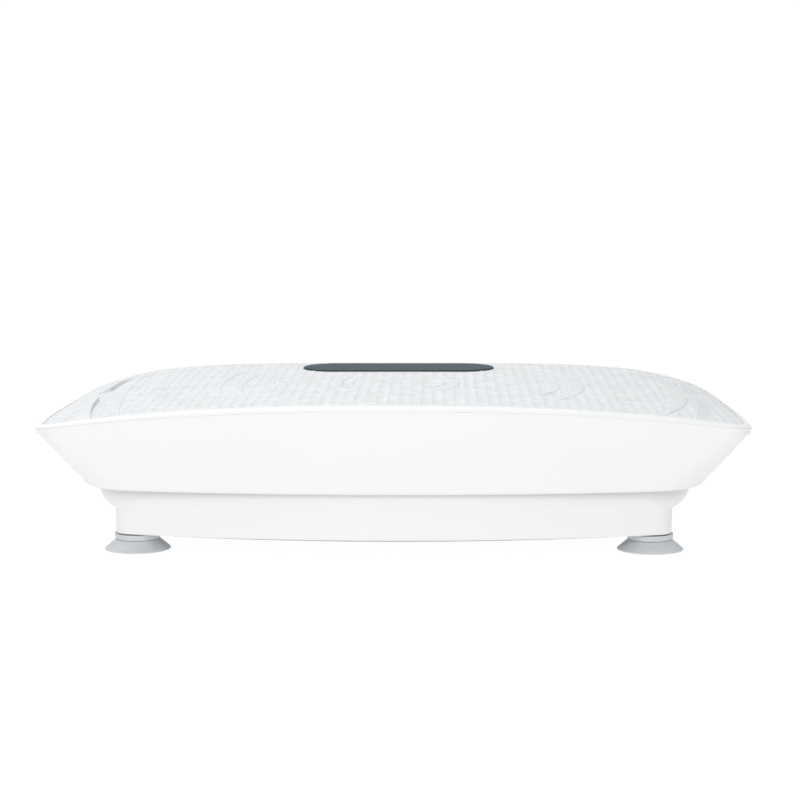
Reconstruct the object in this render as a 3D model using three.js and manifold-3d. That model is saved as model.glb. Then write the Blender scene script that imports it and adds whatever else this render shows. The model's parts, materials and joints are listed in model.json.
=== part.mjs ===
// Vibration plate (rocking type): a bowed platform that see-saws about a front-to-back axis over a base tub
// on four suction feet. Millimetres, +Z up, +X to the user's right, +Y away from the user.
// The origin is on the floor, under the middle of the plate.
import * as THREE from 'three';
import { mergeVertices } from 'three/addons/utils/BufferGeometryUtils.js';
import Module from 'manifold-3d';

const wasm = await Module();
wasm.setup();

// ---- driving dimensions ----
const HALF_WIDTH = 335;        // platform, to the rim's outer edge
const HALF_DEPTH = 201;
const RIM_Z = 143;             // rim's outer edge at the middle of the front
const RIM_RISE = 4;            // deck surface above the rim's outer edge
const FRONT_ARCH = 24.5;       // how far the front edge falls at its ends
const BACK_ARCH = 30.4;        // how far the back edge falls, all near its corners
const MAT_THICKNESS = 3;
const GAP = 0.3;               // between pieces that touch
const LIP_Z = 61.5;            // bottom edge of the side shell
const SKIRT_Z = 17.5;          // bottom edge of the base tub
const FLOOR_Z = 22;            // inside floor of the base tub
const MOUNT_Z = FLOOR_Z + GAP; // what stands on that floor
const PIVOT_Z = 80;            // rocking axis
const PIVOT_Y = 105;           // middle of each pivot bracket, front and rear
const FRAME_Z = 119;           // underside of the steel frame
const FRAME_THICKNESS = 3;
const DRIVE_Z = 64;            // motor and crank shafts
const MOTOR_X = -60;
const CRANK_X = 95;
const ECCENTRICITY = 1.66;     // rocks the platform by about one degree each way
const LINK_PIN_Z = 106;
const BELT_Y = -68;
const BELT_HALF_WIDTH = 4.5;
const BELT_HALF_THICKNESS = 1.2;
const CRANK_PITCH_R = 35.1;    // pitch radii, three to one
const MOTOR_PITCH_R = 11.7;
const FOOT_X = 241;
const FOOT_Y = 111;
const BUFFER_X = 205;
const BUFFER_Y = 95;
const POWER_Y = 171.8;         // back of the power module's flange

// ---- materials ----
const finish = (color, roughness, metalness = 0) =>
  new THREE.MeshStandardMaterial({ color, roughness, metalness });
const whitePlastic = finish(0xf3f4f5, 0.35);
const greyMat = finish(0xd9dcde, 0.65);
const footRubber = finish(0xc9cdcf, 0.55);
const darkLens = finish(0x60696e, 0.12);
const blackPlastic = finish(0x1d1e20, 0.45);
const greySteel = finish(0x8f9499, 0.4, 0.9);
const blackRubber = finish(0x202123, 0.8);
const boardGreen = finish(0x2c5a3c, 0.6);
const brass = finish(0xb9a06a, 0.35, 0.9);

// ---- solids ----
function weld(geometry) {
  const bare = (geometry.index ? geometry.toNonIndexed() : geometry).clone();
  for (const name of Object.keys(bare.attributes)) if (name !== 'position') bare.deleteAttribute(name);
  const merged = mergeVertices(bare, 1e-4);
  const index = merged.index.array;
  const kept = [];
  for (let i = 0; i < index.length; i += 3) {
    const [a, b, c] = [index[i], index[i + 1], index[i + 2]];
    if (a !== b && b !== c && c !== a) kept.push(a, b, c);
  }
  merged.setIndex(kept);
  return merged;
}

function toSolid(geometry) {
  const welded = weld(geometry);
  return new wasm.Manifold(new wasm.Mesh({
    numProp: 3,
    vertProperties: new Float32Array(welded.attributes.position.array),
    triVerts: new Uint32Array(welded.index.array),
  }));
}

function fromSolid(solid) {
  const mesh = solid.getMesh();
  const geometry = new THREE.BufferGeometry();
  geometry.setAttribute('position', new THREE.BufferAttribute(new Float32Array(mesh.vertProperties), 3));
  geometry.setIndex([...mesh.triVerts]);
  return geometry;
}

function combine(body, { add = [], cut = [] }) {
  let solid = toSolid(body);
  for (const extra of add) solid = solid.add(toSolid(extra));
  for (const tool of cut) solid = solid.subtract(toSolid(tool));
  return fromSolid(solid);
}

const block = (x0, x1, y0, y1, z0, z1) => new THREE.BoxGeometry(x1 - x0, y1 - y0, z1 - z0)
  .translate((x0 + x1) / 2, (y0 + y1) / 2, (z0 + z1) / 2);
const barAlongY = (radius, x, z, y0, y1, sides = 16) =>
  new THREE.CylinderGeometry(radius, radius, y1 - y0, sides).translate(x, (y0 + y1) / 2, z);
const barAlongZ = (radius, x, y, z0, z1, sides = 16) =>
  new THREE.CylinderGeometry(radius, radius, z1 - z0, sides)
    .rotateX(Math.PI / 2).translate(x, y, (z0 + z1) / 2);
const turned = (profile, sides) =>
  new THREE.LatheGeometry(profile.map(([r, t]) => new THREE.Vector2(r, t)), sides);
const turnedAlongY = (profile, x, z, sides = 20) => turned(profile, sides).translate(x, 0, z);
const turnedAlongZ = (profile, x, y, sides = 20) =>
  turned(profile, sides).rotateX(Math.PI / 2).translate(x, y, 0);

// A flat shape drawn in x and z, given thickness along Y.
function plateAcrossY(shape, y0, y1, curveSegments = 7) {
  return new THREE.ExtrudeGeometry(shape, { depth: y1 - y0, bevelEnabled: false, curveSegments })
    .rotateX(Math.PI / 2).translate(0, y1, 0);
}

const plateAcrossZ = (shape, z0, z1, curveSegments = 7) =>
  new THREE.ExtrudeGeometry(shape, { depth: z1 - z0, bevelEnabled: false, curveSegments })
    .translate(0, 0, z0);

function roundHole(shape, x, y, radius) {
  const path = new THREE.Path();
  path.absarc(x, y, radius, 0, 2 * Math.PI, true);
  shape.holes.push(path);
}

// ---- the bowed outline ----
// A rounded rectangle whose four sides are shallow arcs, as points going round from the middle of the front.
const FRONT_STEPS = 5;
const CORNER_STEPS = 4;
const SIDE_STEPS = 2;

function outline({ a, b, bowFront, bowSide, corner }) {
  const frontR = (a * a + bowFront * bowFront) / (2 * bowFront);
  const sideR = (b * b + bowSide * bowSide) / (2 * bowSide);
  const frontCentre = new THREE.Vector2(0, -b + frontR);
  const sideCentre = new THREE.Vector2(a - sideR, 0);
  const along = sideCentre.clone().sub(frontCentre);
  const distance = along.length();
  along.normalize();
  const reach = ((frontR - corner) ** 2 - (sideR - corner) ** 2 + distance ** 2) / (2 * distance);
  const offset = Math.sqrt((frontR - corner) ** 2 - reach ** 2);
  const side = new THREE.Vector2(along.y, -along.x);
  const centre = frontCentre.clone().addScaledVector(along, reach).addScaledVector(side, offset);
  if (centre.x < 0 || centre.y > 0) centre.addScaledVector(side, -2 * offset);
  const frontAngle = Math.atan2(centre.y - frontCentre.y, centre.x - frontCentre.x);
  const sideAngle = Math.atan2(centre.y - sideCentre.y, centre.x - sideCentre.x);
  const quarter = [];
  const arc = (middle, radius, from, to, steps, first) => {
    for (let i = first; i <= steps; i++) {
      const angle = from + (to - from) * i / steps;
      quarter.push([middle.x + radius * Math.cos(angle), middle.y + radius * Math.sin(angle)]);
    }
  };
  arc(frontCentre, frontR, -Math.PI / 2, frontAngle, FRONT_STEPS, 0);
  arc(centre, corner, frontAngle, sideAngle, CORNER_STEPS, 1);
  arc(sideCentre, sideR, sideAngle, 0, SIDE_STEPS, 1);
  const half = [...quarter, ...quarter.slice(0, -1).reverse().map(([x, y]) => [x, -y])];
  return [...half, ...half.slice(1, -1).reverse().map(([x, y]) => [-x, y])];
}

const RIM = { a: HALF_WIDTH, b: HALF_DEPTH, bowFront: 34, bowSide: 10.6, corner: 28 };

// The rim's outline moved inwards.
const inset = (ring, by) =>
  ({ ...ring, a: ring.a - by, b: ring.b - by, corner: Math.max(ring.corner - by, 3) });

// How far the platform's top has fallen at a point: an arch along the front, corners only along the back.
function fall(x, y) {
  const u = Math.min(Math.abs(x) / HALF_WIDTH, 1);
  const t = Math.min(Math.max((y + HALF_DEPTH) / (2 * HALF_DEPTH), 0), 1);
  const back = t * t * (3 - 2 * t);
  return (1 - back) * FRONT_ARCH * u ** 2.4 + back * BACK_ARCH * u ** 6;
}

const level = (ring, z) => outline(ring).map(([x, y]) => new THREE.Vector3(x, y, z));
const domed = (ring, z) => outline(ring).map(([x, y]) => new THREE.Vector3(x, y, z - fall(x, y)));
const domedScaled = (ring, z, scale) =>
  outline(ring).map(([x, y]) => new THREE.Vector3(x * scale, y * scale, z - fall(x * scale, y * scale)));
const between = (low, high, share) => low.map((point, i) => point.clone().lerp(high[i], share));

// A skin over a stack of loops, each four-sided gap split along its shorter diagonal. Open ends are closed
// by a fan to their middle; a ring joins last to first.
function loft(loops, { ring = false } = {}) {
  const count = loops[0].length;
  const points = loops.flat();
  const faces = [];
  const last = ring ? loops.length : loops.length - 1;
  for (let k = 0; k < last; k++) {
    const low = k * count;
    const high = ((k + 1) % loops.length) * count;
    for (let i = 0; i < count; i++) {
      const j = (i + 1) % count;
      const rising = points[low + i].distanceTo(points[high + j]);
      const falling = points[low + j].distanceTo(points[high + i]);
      if (rising <= falling) faces.push([low + i, low + j, high + j], [low + i, high + j, high + i]);
      else faces.push([low + i, low + j, high + i], [low + j, high + j, high + i]);
    }
  }
  if (!ring) {
    for (const [start, turn] of [[0, 1], [(loops.length - 1) * count, 0]]) {
      const middle = points.slice(start, start + count)
        .reduce((sum, p) => sum.add(p), new THREE.Vector3()).divideScalar(count);
      const hub = points.push(middle) - 1;
      for (let i = 0; i < count; i++) {
        const j = (i + 1) % count;
        faces.push(turn ? [hub, start + j, start + i] : [hub, start + i, start + j]);
      }
    }
  }
  const geometry = new THREE.BufferGeometry().setFromPoints(points);
  const volume = faces.reduce((sum, [i, j, k]) =>
    sum + points[i].dot(new THREE.Vector3().crossVectors(points[j], points[k])), 0);
  geometry.setIndex(faces.flatMap(([i, j, k]) => (volume > 0 ? [i, j, k] : [i, k, j])));
  return geometry;
}

// ---- assembly ----
const plate = new THREE.Group();
function piece(name, geometry, material) {
  const mesh = new THREE.Mesh(geometry, material);
  mesh.name = name;
  plate.add(mesh);
}

const CORNERS = [['front_left', -1, -1], ['front_right', 1, -1], ['rear_left', -1, 1], ['rear_right', 1, 1]];
const ENDS = [['front', -1], ['rear', 1]];

// Shared spans from the lowest to the highest of two signed values.
const span = (side, near, far) => (side > 0 ? [near, far] : [-far, -near]);

// ---- platform: top cover, side shell, mat ----
const SEAM_DROP = 2.8;          // the top cover's edge band, below the rim's outer edge, at the middle
const SEAM_TIP = 0.35;          // and at the tips
const COVER_THICKNESS = 3;
const RECESS = 7;               // rim's outer edge to the mat
const MAT_EDGE = inset(RIM, RECESS);
const DECK_Z = RIM_Z + RIM_RISE;
const MAT_UNDER_Z = DECK_Z - MAT_THICKNESS;
const LENS_HALF = [100, 40];    // control lens, half width and half depth
const LENS_Y = 141.5;
const LENS_END = 34;            // how much of each end is curved
const WINDOW_MARGIN = 8;        // lens edge to the cover's window
const BOARD_MARGIN = 12;        // lens edge to the display board
const RIB_X = [-120, -60, 60, 120];
const RIB_Y = [-118, 90];
const RIB_HALF = 2;
const DECK_STEPS = [0.84, 0.6, 0.3];

// The seam line inside an outline: the band above it narrows towards the tips.
const seam = (ring, gap) => domed(ring, RIM_Z - gap).map((point) => {
  const drop = SEAM_DROP * (1 - (Math.abs(point.x) / HALF_WIDTH) ** 4);
  return point.setZ(point.z - Math.max(drop, SEAM_TIP));
});

// A slot-like oval: straight long edges and half-elliptic ends.
function oval(halfWidth, halfDepth, y, end) {
  const shape = new THREE.Shape();
  shape.moveTo(-halfWidth + end, y - halfDepth);
  shape.lineTo(halfWidth - end, y - halfDepth);
  shape.absellipse(halfWidth - end, y, end, halfDepth, -Math.PI / 2, Math.PI / 2, false);
  shape.lineTo(-halfWidth + end, y + halfDepth);
  shape.absellipse(-halfWidth + end, y, end, halfDepth, Math.PI / 2, 1.5 * Math.PI, false);
  return shape;
}

// The control lens's outline, grown or shrunk.
const lensOval = (by) =>
  oval(LENS_HALF[0] + by, LENS_HALF[1] + by, LENS_Y, LENS_END + Math.min(by, 0));

function topCover() {
  const recess = inset(RIM, RECESS - GAP);
  const under = MAT_UNDER_Z - GAP - COVER_THICKNESS;
  const body = loft([
    ...[...DECK_STEPS].reverse().map((scale) => domedScaled(MAT_EDGE, under, scale)),
    domed(inset(RIM, RECESS + 1), under),
    seam(inset(RIM, 2.8), 0),
    seam(inset(RIM, 0.4), 0),
    domed(RIM, RIM_Z),
    domed(inset(RIM, 1.8), RIM_Z + 0.72 * RIM_RISE),
    domed(inset(RIM, 5), RIM_Z + RIM_RISE),
    domed(recess, RIM_Z + RIM_RISE - 0.2),
    domed(recess, MAT_UNDER_Z - GAP),
    ...DECK_STEPS.map((scale) => domedScaled(MAT_EDGE, MAT_UNDER_Z - GAP, scale)),
  ]);
  const frameTop = FRAME_Z + FRAME_THICKNESS + GAP;
  const ribs = RIB_X.map((x) => block(x - RIB_HALF, x + RIB_HALF, ...RIB_Y, frameTop, under + 0.8));
  const window = plateAcrossZ(lensOval(-WINDOW_MARGIN), under - 2, DECK_Z);
  return combine(body, { add: ribs, cut: [window] });
}

// The flank: a sloping wall that ends in a rounded lip just outside the base tub.
const FLANK_BASE = { a: 294, b: 182, bowFront: 30, bowSide: 9, corner: 62 };
const FLANK_BASE_Z = 66;
const LIP = { a: 287, b: 178.4, bowFront: 30.5, bowSide: 9, corner: 57 };
const WALL = 3;

function sideShell() {
  const top = seam(inset(RIM, 0.4), GAP);
  const base = level(FLANK_BASE, FLANK_BASE_Z);
  const innerTop = seam(inset(RIM, 0.4 + WALL), GAP);
  const innerBase = level(inset(FLANK_BASE, WALL), FLANK_BASE_Z);
  return loft([
    top, between(base, top, 0.66), between(base, top, 0.33), base,
    level(LIP, LIP_Z + 0.8), level(inset(LIP, 0.8), LIP_Z), level(inset(LIP, 2.2), LIP_Z),
    innerBase, between(innerBase, innerTop, 0.33), between(innerBase, innerTop, 0.66), innerTop,
  ], { ring: true });
}

// Raised ridges that stop the feet: a steep wall towards the middle, a smooth slope outwards.
const RIDGE_HEIGHT = 3.8;
const RIDGE_WIDTH = 14;
const RIDGE_CREST_X = 289;      // the wall's furthest point from the middle
const RIDGE_BOW = 0.00053;      // how fast the wall turns inwards, per millimetre
const RIDGES = [[-168, -28], [40, 142]];  // from front to back, a gap between them

function ridge(side, [from, to], pointed) {
  const stations = 10;
  const loops = [];
  for (let i = 0; i <= stations; i++) {
    const y = from + (to - from) * i / stations;
    const fade = pointed === 'front' ? i / stations : 1 - i / stations;
    const share = Math.min(1, 0.06 + 1.7 * fade);
    const wall = RIDGE_CREST_X - RIDGE_BOW * y ** 2;
    const deck = (x) => DECK_Z - fall(x, y);
    const slope = wall + RIDGE_WIDTH * (0.55 + 0.45 * share);
    const foot = -1.5;
    const corners = [
      [wall, foot], [slope, foot], [slope, 0.1],
      [wall + 2, RIDGE_HEIGHT * share], [wall, RIDGE_HEIGHT * share],
    ];
    loops.push(corners.map(([x, rise]) => new THREE.Vector3(side * x, y, deck(x) + rise)));
  }
  return loft(loops);
}

function deckMat() {
  const body = loft([
    ...[...DECK_STEPS].reverse().map((scale) => domedScaled(MAT_EDGE, MAT_UNDER_Z, scale)),
    domed(MAT_EDGE, MAT_UNDER_Z),
    domed(MAT_EDGE, DECK_Z - 0.4),
    domed(inset(MAT_EDGE, 1), DECK_Z),
    ...DECK_STEPS.map((scale) => domedScaled(MAT_EDGE, DECK_Z, scale)),
  ]);
  const window = plateAcrossZ(lensOval(GAP), MAT_UNDER_Z - 5, DECK_Z + 5);
  const ridges = [-1, 1].flatMap((side) => [ridge(side, RIDGES[0], 'front'), ridge(side, RIDGES[1], 'rear')]);
  return combine(body, { add: ridges, cut: [window] });
}

piece('top_cover', topCover(), whitePlastic);
piece('side_shell', sideShell(), whitePlastic);
piece('deck_mat', deckMat(), greyMat);
piece('control_lens', plateAcrossZ(lensOval(0), MAT_UNDER_Z + 0.2, DECK_Z + 0.3), darkLens);
piece('display_board', plateAcrossZ(lensOval(-BOARD_MARGIN), MAT_UNDER_Z - 2.6, MAT_UNDER_Z - 1), boardGreen);

// ---- platform: steel frame, hangers, pivot pins, clevis ----
const FRAME_HALF = [235, 122];
const FRAME_CHAMFER = 30;
const FRAME_HOLE = { x: 150, y: 45, r: 28 };    // lightening holes

function steelFrame() {
  const [w, d] = FRAME_HALF;
  const cut = FRAME_CHAMFER;
  const shape = new THREE.Shape([[-w + cut, -d], [w - cut, -d], [w, -d + cut], [w, d - cut], [w - cut, d],
    [-w + cut, d], [-w, d - cut], [-w, -d + cut]].map(([x, y]) => new THREE.Vector2(x, y)));
  for (const side of [-1, 1]) {
    for (const end of [-1, 1]) roundHole(shape, side * FRAME_HOLE.x, end * FRAME_HOLE.y, FRAME_HOLE.r);
    roundHole(shape, side * BUFFER_X, 0, 16);
  }
  return plateAcrossZ(shape, FRAME_Z, FRAME_Z + FRAME_THICKNESS);
}

// An upright plate with a round boss at (x, z), a foot or head at one end, and a bore.
function upright({ x, z, boss, bore, foot, half }) {
  const shape = new THREE.Shape();
  const up = Math.sign(z - foot);
  const tilt = Math.atan2(half - boss, Math.abs(z - foot));
  const turn = up > 0 ? 0 : Math.PI;
  shape.moveTo(x - up * half, foot);
  shape.lineTo(x + up * half, foot);
  shape.absarc(x, z, boss, turn + tilt, turn + Math.PI - tilt, false);
  shape.closePath();
  roundHole(shape, x, z, bore);
  return shape;
}

const HANGER_Y = [91, 97];
const BRACKET_Y = [101, 109];
const PIN_R = 6;
const FLANGE = 4;
const FRAME_UNDER = FRAME_Z - GAP;

function hanger(side) {
  const [y0, y1] = span(side, ...HANGER_Y);
  const plateShape = upright({ x: 0, z: PIVOT_Z, boss: 15, bore: PIN_R + GAP, foot: FRAME_UNDER, half: 32 });
  const head = block(-34, 34, ...span(side, HANGER_Y[0] - 18, HANGER_Y[1]),
    FRAME_UNDER - FLANGE, FRAME_UNDER);
  return combine(plateAcrossY(plateShape, y0, y1), { add: [head] });
}

const PIN_HEAD_R = 9.5;
function pivotPin(side) {
  const inner = HANGER_Y[0] - 2;
  const outer = BRACKET_Y[1] + 1.5;
  const head = outer + 3;
  const profile = [[0, inner], [PIN_R, inner], [PIN_R, outer],
    [PIN_HEAD_R, outer], [PIN_HEAD_R, head], [0, head]];
  return turnedAlongY(profile, 0, 0).rotateX(side > 0 ? 0 : Math.PI).translate(0, 0, PIVOT_Z);
}

piece('platform_frame', steelFrame(), greySteel);
for (const [end, side] of ENDS) {
  piece(`pivot_hanger_${end}`, hanger(side), greySteel);
  piece(`pivot_pin_${end}`, pivotPin(side), greySteel);
}

const LINK_Y = [-33, -23];
const LINK_PIN_R = 4;
function linkClevis() {
  const ear = { x: CRANK_X, z: LINK_PIN_Z, boss: 7, bore: LINK_PIN_R + GAP, foot: FRAME_UNDER, half: 9 };
  const ears = [[LINK_Y[0] - 4, LINK_Y[0] - 1], [LINK_Y[1] + 1, LINK_Y[1] + 4]]
    .map(([y0, y1]) => plateAcrossY(upright(ear), y0, y1));
  const head = block(CRANK_X - 12, CRANK_X + 12, LINK_Y[0] - 4, LINK_Y[1] + 4, FRAME_UNDER - 2, FRAME_UNDER);
  return combine(head, { add: ears });
}
piece('link_clevis', linkClevis(), greySteel);
piece('link_pin', barAlongY(LINK_PIN_R, CRANK_X, LINK_PIN_Z, LINK_Y[0] - 6, LINK_Y[1] + 6), greySteel);

// ---- base: tub, bottom plate, power module ----
const SKIRT = { a: 264, b: 167, bowFront: 37, bowSide: 8, corner: 18 };
const WAIST = { a: 264.5, b: 169.4, bowFront: 37.1, bowSide: 8, corner: 22 };
const WAIST_Z = 42;
const NECK = [                  // the flare above the waist, from below
  [46.5, { a: 273, b: 169.9, bowFront: 38.6, bowSide: 8.2, corner: 31 }],
  [52, { a: 279.8, b: 170.5, bowFront: 40.2, bowSide: 8.6, corner: 46 }],
  [59, { a: 282.4, b: 171.2, bowFront: 41, bowSide: 9, corner: 60 }],
];
const TUB_TOP_Z = 74;
const TUB_WALL = 2.6;
const PLATE_Z = [16, 18.5];
const POST_TOP_Z = 92;          // moulded posts under the rubber buffers
const POST_R = 14;
const PAD = { x: [-45, 45], z: [22.5, 56] };       // flat seat for the power module
const OPENING = { x: [-38, 38], z: [25, 53] };
const OUTSIDE_Y = 190;          // past the back of the tub

function baseTub() {
  const inner = (ring) => inset(ring, TUB_WALL);
  const body = loft([
    level(inner(WAIST), FLOOR_Z), level(inner(WAIST), WAIST_Z + 0.8),
    ...NECK.map(([z, ring]) => level(inner(ring), z)), level(inner(NECK[2][1]), TUB_TOP_Z),
    level(NECK[2][1], TUB_TOP_Z), ...[...NECK].reverse().map(([z, ring]) => level(ring, z)),
    level(WAIST, WAIST_Z), level(SKIRT, SKIRT_Z), level(inner(SKIRT), SKIRT_Z),
    level(inner(SKIRT), PLATE_Z[1] + GAP),
  ]);
  const posts = CORNERS.map(([, sx, sy]) =>
    barAlongZ(POST_R, sx * BUFFER_X, sy * BUFFER_Y, FLOOR_Z - 1, POST_TOP_Z, 12));
  const pad = block(...PAD.x, 162, POWER_Y - GAP, ...PAD.z);
  const opening = block(...OPENING.x, 150, OUTSIDE_Y, ...OPENING.z);
  return combine(body, { add: [...posts, pad], cut: [opening] });
}

const BOTTOM_PLATE = { a: 258, b: 163.4, bowFront: 42, bowSide: 7, corner: 14 };
const SCREW_HOLE_R = 3;
function bottomPlate() {
  const shape = new THREE.Shape(outline(BOTTOM_PLATE).map(([x, y]) => new THREE.Vector2(x, y)));
  for (const [, sx, sy] of CORNERS) roundHole(shape, sx * FOOT_X, sy * FOOT_Y, SCREW_HOLE_R);
  return plateAcrossZ(shape, ...PLATE_Z, 6);
}

piece('base_tub', baseTub(), whitePlastic);
piece('bottom_plate', bottomPlate(), greySteel);

// Power module on the back of the tub: mains inlet, fuse drawer and rocker switch side by side.
const INLET = { x: [-34, -9], z: [35.5, 52] };
const INLET_DEPTH = 17;
const DRAWER = { x: [-34, -9], z: [26, 33] };
const SWITCH = { x: [8.5, 28.5], z: 39.5, half: 11.3 };
const FLANGE_Y = [POWER_Y, POWER_Y + 2];
const MODULE_BODY = { x: [-37, 37], z: [25.5, 52.6], front: 145 };
const MODULE_FLANGE = { x: [-43, 43], z: [23.5, 55] };

function powerModule() {
  const face = FLANGE_Y[1];
  const body = block(...MODULE_BODY.x, MODULE_BODY.front, FLANGE_Y[0] + 1, ...MODULE_BODY.z);
  const flange = block(...MODULE_FLANGE.x, ...FLANGE_Y, ...MODULE_FLANGE.z);
  const middle = (INLET.x[0] + INLET.x[1]) / 2;
  const pins = [[-7, 42], [7, 42], [0, 46.5]].map(([dx, z]) =>
    block(middle + dx - 1, middle + dx + 1, face - INLET_DEPTH - 1, face - 4, z - 2, z + 2));
  const cavities = [
    block(...INLET.x, face - INLET_DEPTH, face + 1, ...INLET.z),
    block(...DRAWER.x, face - 24, face + 1, ...DRAWER.z),
    block(...SWITCH.x, face - 14, face + 1, SWITCH.z - SWITCH.half, SWITCH.z + SWITCH.half),
  ];
  const hollow = toSolid(combine(body, { add: [flange], cut: cavities }));
  return fromSolid(pins.reduce((solid, pin) => solid.add(toSolid(pin)), hollow));
}

function fuseDrawer() {
  const face = FLANGE_Y[1];
  const tray = block(DRAWER.x[0] + 0.5, DRAWER.x[1] - 0.5, face - 22, face + 0.8,
    DRAWER.z[0] + 0.5, DRAWER.z[1] - 0.5);
  const grip = block(-26, -17, face, face + 2.2, DRAWER.z[0] + 1.2, DRAWER.z[0] + 2.6);
  const well = block(DRAWER.x[0] + 3, DRAWER.x[1] - 3, face - 19, face - 4, DRAWER.z[0] + 2, DRAWER.z[1]);
  return combine(tray, { add: [grip], cut: [well] });
}

// The rocker stands tilted to its off side at rest.
const SWITCH_TILT = THREE.MathUtils.degToRad(10);
const SWITCH_PIVOT_Y = FLANGE_Y[1] - 3.4;
function rockerSwitch() {
  const profile = [[-10.2, 4.5], [0, 2.8], [10.2, 4.5], [9.4, -1.5], [3, -5], [-3, -5], [-9.4, -1.5]];
  const shape = new THREE.Shape(profile.map(([z, y]) => new THREE.Vector2(y, z)));
  const width = SWITCH.x[1] - SWITCH.x[0] - 1;
  return new THREE.ExtrudeGeometry(shape, { depth: width, bevelEnabled: false })
    .rotateY(Math.PI / 2).rotateX(Math.PI / 2)
    .rotateX(-SWITCH_TILT).translate(SWITCH.x[0] + 0.5, SWITCH_PIVOT_Y, SWITCH.z);
}

piece('power_module', powerModule(), blackPlastic);
piece('fuse_drawer', fuseDrawer(), blackPlastic);
piece('power_switch', rockerSwitch(), blackPlastic);

// ---- base: feet ----
const CUP_TOP = 10;
for (const [corner, sx, sy] of CORNERS) {
  const [x, y] = [sx * FOOT_X, sy * FOOT_Y];
  piece(`suction_cup_${corner}`, turnedAlongZ([[24, 0], [31, 0], [31, 1.6], [22.5, 8.6], [21, CUP_TOP],
    [3.4, CUP_TOP], [3.4, 6.4], [9, 6], [18, 4], [24, 0]], x, y), footRubber);
  piece(`foot_socket_${corner}`, turnedAlongZ([[3.4, CUP_TOP + GAP], [21, CUP_TOP + GAP],
    [21.4, PLATE_Z[0] - GAP], [3.4, PLATE_Z[0] - GAP], [3.4, CUP_TOP + GAP]], x, y), footRubber);
  piece(`foot_screw_${corner}`, turnedAlongZ([[0, 3.2], [4.2, 3.2], [5, 4], [5, 6],
    [2.6, 6], [2.6, 18.4], [0, 18.4]], x, y, 12), greySteel);
}

// ---- base: pivot brackets, bearings, bolts ----
const BEARING_R = 13;
const BORE_STEPS = 10;
const BOLT_X = 40;
function pivotBracket(side) {
  const [y0, y1] = span(side, ...BRACKET_Y);
  const plateShape = upright({ x: 0, z: PIVOT_Z, boss: 19, bore: BEARING_R + GAP, foot: MOUNT_Z, half: 34 });
  const flange = block(-50, 50, ...span(side, BRACKET_Y[0] - 14, BRACKET_Y[1] + 6),
    MOUNT_Z, MOUNT_Z + FLANGE);
  const holes = [-BOLT_X, BOLT_X].map((x) =>
    barAlongZ(3, x, side * PIVOT_Y, FLOOR_Z, MOUNT_Z + FLANGE + 1, 16));
  return combine(plateAcrossY(plateShape, y0, y1, BORE_STEPS), { add: [flange], cut: holes });
}

for (const [end, side] of ENDS) {
  piece(`pivot_bracket_${end}`, pivotBracket(side), greySteel);
  const [y0, y1] = span(side, BRACKET_Y[0] + 0.3, BRACKET_Y[1] - 0.3);
  piece(`pivot_bearing_${end}`, turnedAlongY([[PIN_R + GAP, y0], [BEARING_R, y0], [BEARING_R, y1],
    [PIN_R + GAP, y1], [PIN_R + GAP, y0]], 0, PIVOT_Z), brass);
  for (const [hand, x] of [['left', -BOLT_X], ['right', BOLT_X]]) {
    const top = MOUNT_Z + FLANGE + GAP;
    piece(`bracket_bolt_${end}_${hand}`, turnedAlongZ([[0, MOUNT_Z + 0.2], [2.6, MOUNT_Z + 0.2],
      [2.6, top], [5.5, top], [5.5, top + 4], [0, top + 4]], x, side * PIVOT_Y, 6), greySteel);
  }
}
for (const [corner, sx, sy] of CORNERS) {
  piece(`rubber_buffer_${corner}`, turnedAlongZ([[0, POST_TOP_Z + GAP], [11, POST_TOP_Z + GAP], [12.5, 96],
    [12.5, 108], [9, 113.5], [0, 113.5]], sx * BUFFER_X, sy * BUFFER_Y, 14), blackRubber);
}

// ---- drive: motor, belt, crank, link ----
const FLANGE_R = 2.4;           // pulley cheeks above the belt's pitch line
function pulley(pitch, bore, x) {
  const groove = pitch - BELT_HALF_THICKNESS - GAP;
  const cheek = pitch + FLANGE_R;
  const [inner, outer] = [BELT_HALF_WIDTH + GAP, BELT_HALF_WIDTH + 1.5];
  return turnedAlongY([[bore, -outer], [cheek, -outer], [cheek, -inner], [groove, -inner], [groove, inner],
    [cheek, inner], [cheek, outer], [bore, outer], [bore, -outer]], x, DRIVE_Z, 24).translate(0, BELT_Y, 0);
}

// The belt's centre line as a loop round both pulleys, moved out or in by half its thickness.
function beltLoop(target, shift, clockwise) {
  const [big, small] = [CRANK_PITCH_R + shift, MOTOR_PITCH_R + shift];
  const lean = Math.asin((big - small) / (CRANK_X - MOTOR_X));
  const [start, end] = [Math.PI / 2 + lean, -Math.PI / 2 - lean];
  if (clockwise) {
    target.absarc(CRANK_X, DRIVE_Z, big, start, end, true);
    target.absarc(MOTOR_X, DRIVE_Z, small, end, start, true);
  } else {
    target.absarc(CRANK_X, DRIVE_Z, big, end, start, false);
    target.absarc(MOTOR_X, DRIVE_Z, small, start, end + 2 * Math.PI, false);
  }
  target.closePath();
  return target;
}

function driveBelt() {
  const shape = beltLoop(new THREE.Shape(), BELT_HALF_THICKNESS, false);
  shape.holes.push(beltLoop(new THREE.Path(), -BELT_HALF_THICKNESS, true));
  return plateAcrossY(shape, BELT_Y - BELT_HALF_WIDTH, BELT_Y + BELT_HALF_WIDTH, 12);
}

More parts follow.
